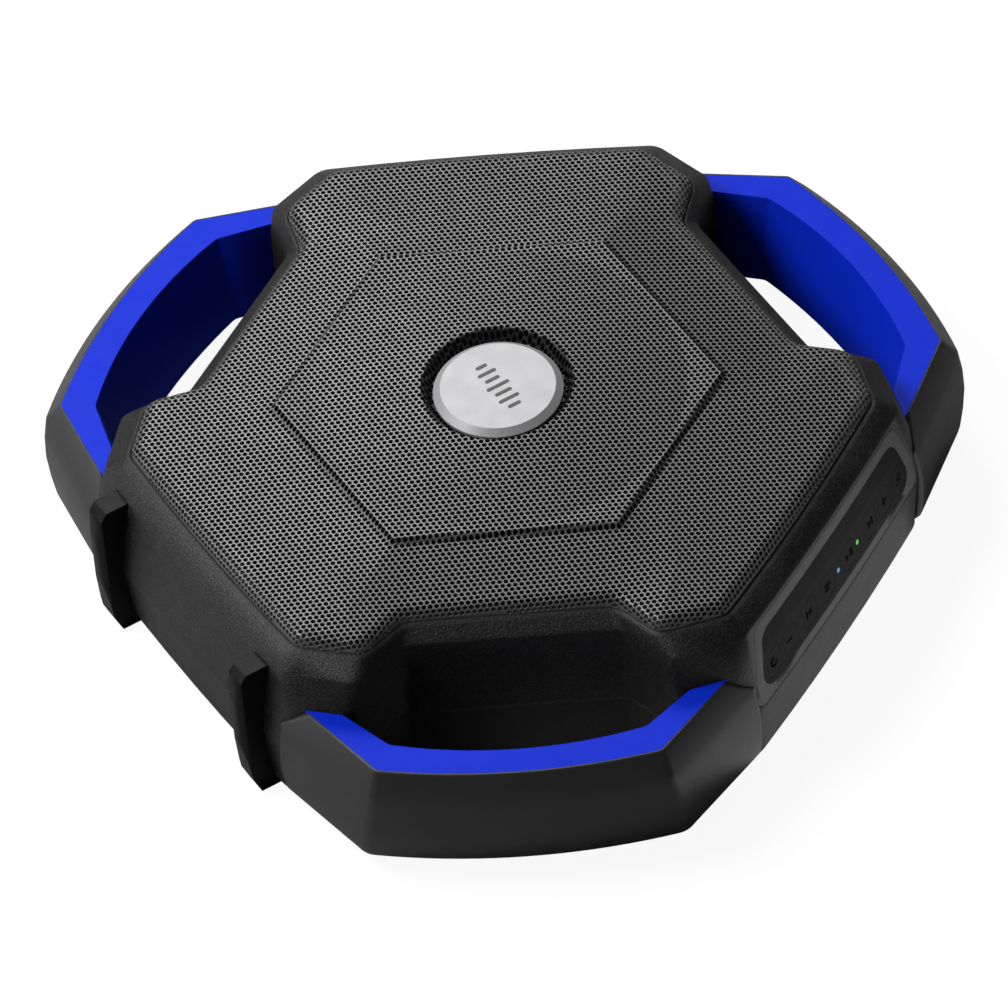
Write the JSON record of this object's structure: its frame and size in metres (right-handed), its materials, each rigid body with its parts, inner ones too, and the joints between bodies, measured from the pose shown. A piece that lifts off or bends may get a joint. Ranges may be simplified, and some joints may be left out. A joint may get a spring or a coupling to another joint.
{
  "type": "portable party speaker",
  "caption": "hexagonal portable party speaker with a perforated grille, a round badge, grab handles at alternate sides, a control panel, a port door and rubber feet",
  "frame": {"origin": "centre of the plane the speaker lies on, under the middle of the grille", "axes": "+Z out of the grille, +Y towards the top handle and away from the two feet, +X to the right seen from the grille side with the top handle up"},
  "size_m": [0.3832, 0.3577, 0.0936],
  "materials": {
    "front_shell": "fine grain, near black",
    "rear_shell": "fine texture, charcoal",
    "handle_shell": "smooth satin, near black",
    "grip": "soft-touch, royal blue",
    "grille": "satin grey coat on perforated steel",
    "cloth": "thin black damping cloth",
    "badge": "fine satin with a darker bevel",
    "bezel": "satin, charcoal",
    "inlay": "satin, near black",
    "button": "satin, charcoal",
    "power_lens": "clear, lit blue",
    "charge_lens": "clear, lit green",
    "foot": "matt black",
    "seal": "matt black",
    "door": "matt, near black",
    "port_plate": "matt black",
    "socket": "nickel plated",
    "screw_steel": "zinc plated",
    "pin_steel": "drawn bright",
    "basket": "glass-filled, matt black",
    "cone": "coated paper, dark grey",
    "magnet": "plain ferrite and steel",
    "surround": "moulded, matt black",
    "radiator": "matt black",
    "battery": "shrink wrap, dark blue",
    "strap": "matt black",
    "circuit_board": "green solder resist",
    "board_part": "mixed small parts and a heatsink",
    "wire": "insulated wire"
  },
  "bodies": {
    "body": {"acoustic_cloth": "cloth", "aux_socket": "socket", "badge": "badge", "badge_screw": "screw_steel", "bass_radiator_frame": "basket", "bass_radiator_surround": "surround", "battery_pack": "battery", "battery_strap": "strap", "board_screws": "screw_steel", "button_board": "circuit_board", "charge_lens": "charge_lens", "dc_socket": "socket", "driver_screws": "screw_steel", "foot_screws": "screw_steel", "front_shell": "front_shell", "grille": "grille", "handle_screws": "screw_steel", "left_driver_basket": "basket", "left_driver_magnet": "magnet", "left_driver_surround": "surround", "left_foot": "foot", "left_handle_grip": "grip", "left_handle_shell": "handle_shell", "main_board": "circuit_board", "main_board_parts": "board_part", "panel_bezel": "bezel", "panel_inlay": "inlay", "port_board": "circuit_board", "port_door_pins": "pin_steel", "port_plate": "port_plate", "power_lens": "power_lens", "rear_pads": "foot", "rear_shell": "rear_shell", "right_driver_basket": "basket", "right_driver_magnet": "magnet", "right_driver_surround": "surround", "right_foot": "foot", "right_handle_grip": "grip", "right_handle_shell": "handle_shell", "shell_gasket": "seal", "shell_screws": "screw_steel", "speaker_leads": "wire", "top_handle_grip": "grip", "top_handle_shell": "handle_shell", "usb_socket": "socket"},
    "left_cone": {"left_driver_cone": "cone"},
    "right_cone": {"right_driver_cone": "cone"},
    "bass_radiator": {"bass_radiator_diaphragm": "radiator"},
    "port_door": {"port_door": "door", "port_door_seal": "seal"},
    "power": {"power_button": "button"},
    "volume_down": {"volume_down_button": "button"},
    "previous": {"previous_button": "button"},
    "source": {"source_button": "button"},
    "play": {"play_button": "button"},
    "next": {"next_button": "button"},
    "volume_up": {"volume_up_button": "button"},
    "lights": {"lights_button": "button"}
  },
  "joints": [
    {"name": "power_press", "type": "slide", "parent": "body", "child": "power", "axis": [-0.8549, -0.4936, -0.1599], "range_m": [0, 0.0006], "stiffness_N_per_m": 1500},
    {"name": "volume_down_press", "type": "slide", "parent": "body", "child": "volume_down", "axis": [-0.8549, -0.4936, -0.1599], "range_m": [0, 0.0006], "stiffness_N_per_m": 1500},
    {"name": "previous_press", "type": "slide", "parent": "body", "child": "previous", "axis": [-0.8549, -0.4936, -0.1599], "range_m": [0, 0.0006], "stiffness_N_per_m": 1500},
    {"name": "source_press", "type": "slide", "parent": "body", "child": "source", "axis": [-0.8549, -0.4936, -0.1599], "range_m": [0, 0.0006], "stiffness_N_per_m": 1500},
    {"name": "play_press", "type": "slide", "parent": "body", "child": "play", "axis": [-0.8549, -0.4936, -0.1599], "range_m": [0, 0.0006], "stiffness_N_per_m": 1500},
    {"name": "next_press", "type": "slide", "parent": "body", "child": "next", "axis": [-0.8549, -0.4936, -0.1599], "range_m": [0, 0.0006], "stiffness_N_per_m": 1500},
    {"name": "volume_up_press", "type": "slide", "parent": "body", "child": "volume_up", "axis": [-0.8549, -0.4936, -0.1599], "range_m": [0, 0.0006], "stiffness_N_per_m": 1500},
    {"name": "lights_press", "type": "slide", "parent": "body", "child": "lights", "axis": [-0.8549, -0.4936, -0.1599], "range_m": [0, 0.0006], "stiffness_N_per_m": 1500},
    {"name": "left_cone_stroke", "type": "slide", "parent": "body", "child": "left_cone", "axis": [0, 0, 1], "range_m": [-0.0025, 0.0025], "stiffness_N_per_m": 2500, "deforming": ["left_driver_surround"]},
    {"name": "right_cone_stroke", "type": "slide", "parent": "body", "child": "right_cone", "axis": [0, 0, 1], "range_m": [-0.0025, 0.0025], "stiffness_N_per_m": 2500, "deforming": ["right_driver_surround"]},
    {"name": "bass_radiator_stroke", "type": "slide", "parent": "body", "child": "bass_radiator", "axis": [0, 0, 1], "range_m": [-0.004, 0.004], "stiffness_N_per_m": 2000, "deforming": ["bass_radiator_surround"]},
    {"name": "port_door_hinge", "type": "hinge", "parent": "body", "child": "port_door", "pos_m": [-0.13324, 0.07693, 0.04259], "axis": [-0.5, -0.866, 0], "range_deg": [0, 90]}
  ]
}
